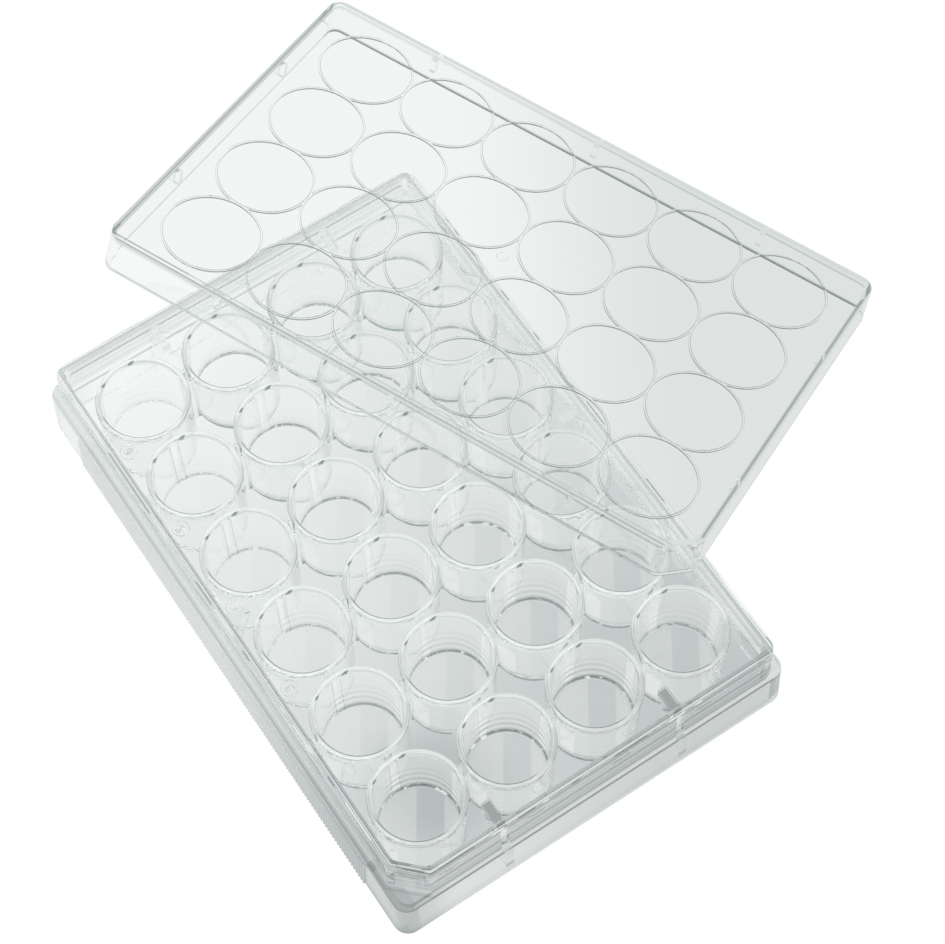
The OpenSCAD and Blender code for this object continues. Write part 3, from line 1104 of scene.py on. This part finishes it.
# painted light and shade on the raised marks
markPaintedLightSpec = {
    "patchScale": 0.6,
    "patches": (0.4, 0.6, 0.0, 0.3),
    "milkAndGleam": 0.3,
    "glow": 0.75,
}


def markPaintedLight(tree):
    # raised lines painted lighter, with painted grey shade in random patches
    f = markPaintedLightSpec
    x, y, z = ownPlace(tree)
    patches = noise(tree, vector(tree, x, y, z), f["patchScale"], 1.0)
    return ramp(tree, patches, *f["patches"]), f["milkAndGleam"], f["glow"]


plasticSpec = {
    "ior": 1.58,
    "roughness": 0.0,
    "tint": (0.992, 1.0, 0.998),
    # the colour that painted shade darkens towards
    "paintedShadeColour": (0.10, 0.15, 0.15),
    "mostDark": 0.95,
    "glowColour": (0.93, 1.0, 0.99),
    "plainLightColour": (0.975, 1.0, 0.985),
    "trapped": 1.5,
}


def clearPlastic(name, frostAndPaintedLight):
    # clear polystyrene: light that stays trapped inside comes out as a soft glow
    p = plasticSpec
    material = bpy.data.materials.new(name)
    material.use_nodes = True
    tree = material.node_tree
    shader = tree.nodes["Principled BSDF"]
    dark, milkAndGleam, light = frostAndPaintedLight(tree)
    path = tree.nodes.new("ShaderNodeLightPath").outputs
    straight = calc(tree, "LESS_THAN", path["Glossy Depth"], p["trapped"])
    dark, milkAndGleam = product(tree, dark, straight), product(tree, milkAndGleam, straight)
    # painted shade darkens the base colour, and painted light and frost make the plastic milky
    colour = mixedColour(tree, calc(tree, "MINIMUM", dark, p["mostDark"]), p["tint"], p["paintedShadeColour"])
    tree.links.new(colour, shader.inputs["Base Color"])
    tree.links.new(calc(tree, "SUBTRACT", 1.0, milkAndGleam, clamp=True), shader.inputs["Transmission Weight"])
    shader.inputs["Roughness"].default_value = p["roughness"]
    shader.inputs["IOR"].default_value = p["ior"]
    # milky places see a plain level from all round, and trapped light comes out as a painted glow at the
    # level the painted light gives
    glow = tree.nodes.new("ShaderNodeEmission")
    lit = calc(tree, "GREATER_THAN", path["Diffuse Depth"], 0.5)
    tree.links.new(mixedColour(tree, lit, p["glowColour"], p["plainLightColour"]), glow.inputs["Color"])
    level = summed(tree, product(tree, worldSpec["plain"], lit), product(tree, inverse(tree, lit), light))
    tree.links.new(level, glow.inputs["Strength"])
    trapped = calc(tree, "MAXIMUM", calc(tree, "GREATER_THAN", path["Glossy Depth"], p["trapped"]), lit)
    mix = tree.nodes.new("ShaderNodeMixShader")
    tree.links.new(trapped, mix.inputs[0])
    tree.links.new(shader.outputs[0], mix.inputs[1])
    tree.links.new(glow.outputs[0], mix.inputs[2])
    tree.links.new(mix.outputs[0], tree.nodes["Material Output"].inputs[0])
    return material


def dress(piece, material):
    piece.data.materials.clear()
    piece.data.materials.append(material)


# the painted shadow and light on the table, in metres
floorSpec = {
    "plateLight": 0.705,
    "alongLight": 3.1,
    "alongFrom": -0.035,
    "rows": (-0.030, 0.030, -0.025, 0.09),
    "rowFade": (-0.02, 0.03, 1.0, 0.5),
    "middle": (0.002, -0.002),
    "halfLength": 0.066,
    "halfWidth": 0.0445,
    "soft": 0.0012,
    "end": (-0.062, -0.048, 0.02, 0),
    "cornerPlace": (-0.043, 0.022, 0),
    "corner": (0.004, 0.018, 0.17, 0),
    "acrossTurn": (-0.55, -0.83),
    "outside": (0.005, 0.055, 0.94, 0.78),
    "table": (0.16, 0.42, 1, 0.72),
    "darkColour": (0.86, 1.0, 0.99),
    "lightColour": (1.0, 1.0, 1.0),
    "size": 3,
    "drop": 0.0002,
}


def floorShade(tree):
    # a painted shadow of the plate on the table, seen only through the plastic, by its place in metres:
    # lighter along the plate and towards its first row, darker at its first column, round that corner and
    # further away
    f = floorSpec
    place = tree.nodes.new("ShaderNodeTexCoord").outputs["Object"]
    split = tree.nodes.new("ShaderNodeSeparateXYZ")
    tree.links.new(place, split.inputs[0])
    x, y = split.outputs[0], split.outputs[1]
    inside = []
    for axis, middle, half in zip((x, y), f["middle"], (f["halfLength"], f["halfWidth"])):
        out = absolute(tree, calc(tree, "SUBTRACT", axis, middle))
        inside.append(ramp(tree, out, half, half + f["soft"], 1, 0))
    under = product(tree, *inside)
    along = calc(tree, "MULTIPLY_ADD", calc(tree, "MAXIMUM", x, f["alongFrom"]),
                 f["alongLight"], f["plateLight"])
    rows = product(tree, ramp(tree, y, *f["rows"]), ramp(tree, x, *f["rowFade"]))
    corner = ramp(tree, distance(tree, place, f["cornerPlace"]), *f["corner"])
    darker = summed(tree, ramp(tree, x, *f["end"]), corner)
    lit = calc(tree, "SUBTRACT", summed(tree, along, rows), darker)
    turn = f["acrossTurn"]
    across = calc(tree, "ADD", calc(tree, "MULTIPLY", x, turn[0]), calc(tree, "MULTIPLY", y, turn[1]))
    shade = mixedValue(tree, under, ramp(tree, across, *f["outside"]), lit)
    return product(tree, shade, ramp(tree, distance(tree, place, (0, 0, 0)), *f["table"]))


def milkLight(tree, amount):
    # milky places are lit at one plain level from all round
    depth = tree.nodes.new("ShaderNodeLightPath").outputs["Diffuse Depth"]
    return mixedValue(tree, calc(tree, "GREATER_THAN", depth, 0.5), amount, worldSpec["plain"])


def makeFloor():
    # white to the camera, and with a painted shadow of the plate through the plastic
    f = floorSpec
    bm = bmesh.new()
    bmesh.ops.create_grid(bm, x_segments=1, y_segments=1, size=f["size"])
    floor = meshObject("floor", bm)
    floor.location.z = -f["drop"]
    material = bpy.data.materials.new("white floor")
    material.use_nodes = True
    tree = material.node_tree
    nodes, links = tree.nodes, tree.links
    nodes.remove(nodes["Principled BSDF"])
    seen = nodes.new("ShaderNodeEmission")
    seen.inputs["Color"].default_value = (1, 1, 1, 1)
    seen.inputs["Strength"].default_value = 1.0
    through = nodes.new("ShaderNodeEmission")
    amount = milkLight(tree, floorShade(tree))
    links.new(mixedColour(tree, amount, f["darkColour"], f["lightColour"]), through.inputs["Color"])
    links.new(amount, through.inputs["Strength"])
    mix = nodes.new("ShaderNodeMixShader")
    links.new(nodes.new("ShaderNodeLightPath").outputs["Is Camera Ray"], mix.inputs[0])
    links.new(through.outputs[0], mix.inputs[1])
    links.new(seen.outputs[0], mix.inputs[2])
    links.new(mix.outputs[0], nodes["Material Output"].inputs[0])
    floor.data.materials.append(material)


worldSpec = {
    "overhead": (0.1, 0.8, 0.6, 0.7),
    "plain": 0.87,
    "colour": (0.95, 1.0, 0.99),
}


def makeWorld():
    # a dim room that is lighter overhead, and plain white where the camera sees it
    w = worldSpec
    world = bpy.data.worlds.new("studio")
    bpy.context.scene.world = world
    world.use_nodes = True
    tree = world.node_tree
    direction = tree.nodes.new("ShaderNodeTexCoord").outputs["Generated"]
    split = tree.nodes.new("ShaderNodeSeparateXYZ")
    tree.links.new(direction, split.inputs[0])
    room = milkLight(tree, ramp(tree, split.outputs[2], *w["overhead"]))
    seen = tree.nodes.new("ShaderNodeLightPath").outputs["Is Camera Ray"]
    back = tree.nodes["Background"]
    tree.links.new(mixedColour(tree, seen, w["colour"], (1, 1, 1)), back.inputs["Color"])
    tree.links.new(mixedValue(tree, seen, room, 1.0), back.inputs["Strength"])


lampSpec = {
    "window": {"place": (0.5, 0.55, 0.8), "size": (0.25, 0.45), "power": 2.0},
    "softbox": {"place": (-0.9, -0.3, 0.7), "size": (0.5, 0.3), "power": 1.5},
}


def areaLight(name, place, size, power):
    # aimed at the middle of the plate
    data = bpy.data.lights.new(name, "AREA")
    data.shape = "RECTANGLE"
    data.size, data.size_y = size
    data.energy = power
    lamp = bpy.data.objects.new(name, data)
    lamp.location = place
    lamp.rotation_euler = (-Vector(place)).to_track_quat("-Z", "Y").to_euler()
    lamp.visible_glossy = False  # the plastic mirrors only the room of makeWorld
    lamp.visible_transmission = False
    bpy.context.scene.collection.objects.link(lamp)


cameraSpec = {
    "place": (-185.78, 104.46, 474.13),
    "turn": (25.828, 0.441, -123.627),
    "lens": 102.55,
    "sensor": 36.0,
}


def makeCamera():
    c = cameraSpec
    data = bpy.data.cameras.new("camera")
    data.lens = c["lens"]
    data.sensor_width = c["sensor"]
    data.clip_start = 0.01
    camera = bpy.data.objects.new("camera", data)
    camera.location = Vector(c["place"]) * mm
    camera.rotation_euler = [math.radians(a) for a in c["turn"]]
    bpy.context.scene.collection.objects.link(camera)
    bpy.context.scene.camera = camera


scene = bpy.context.scene
scene.view_settings.view_transform = "Standard"
bounces = 32  # enough for the light to get through both pieces
scene.cycles.max_bounces = bounces
scene.cycles.transmission_bounces = bounces
scene.cycles.glossy_bounces = bounces

makeCamera()
makeFloor()
makeWorld()
for name, lamp in lampSpec.items():
    areaLight(name, **lamp)
print("camera, table, room and lamps are set")
plate = makePlate()
lid = makeLid()
marks = makeMarks()
pressed = clearPlastic("pressed lines", markPaintedLight)
dress(plate, clearPlastic("clear plate", plateFrostAndPaintedLight))
dress(lid, clearPlastic("clear lid", lidPaintedLight))
for mark in marks:
    dress(mark, pressed)
print("the clear plastic is on every piece")
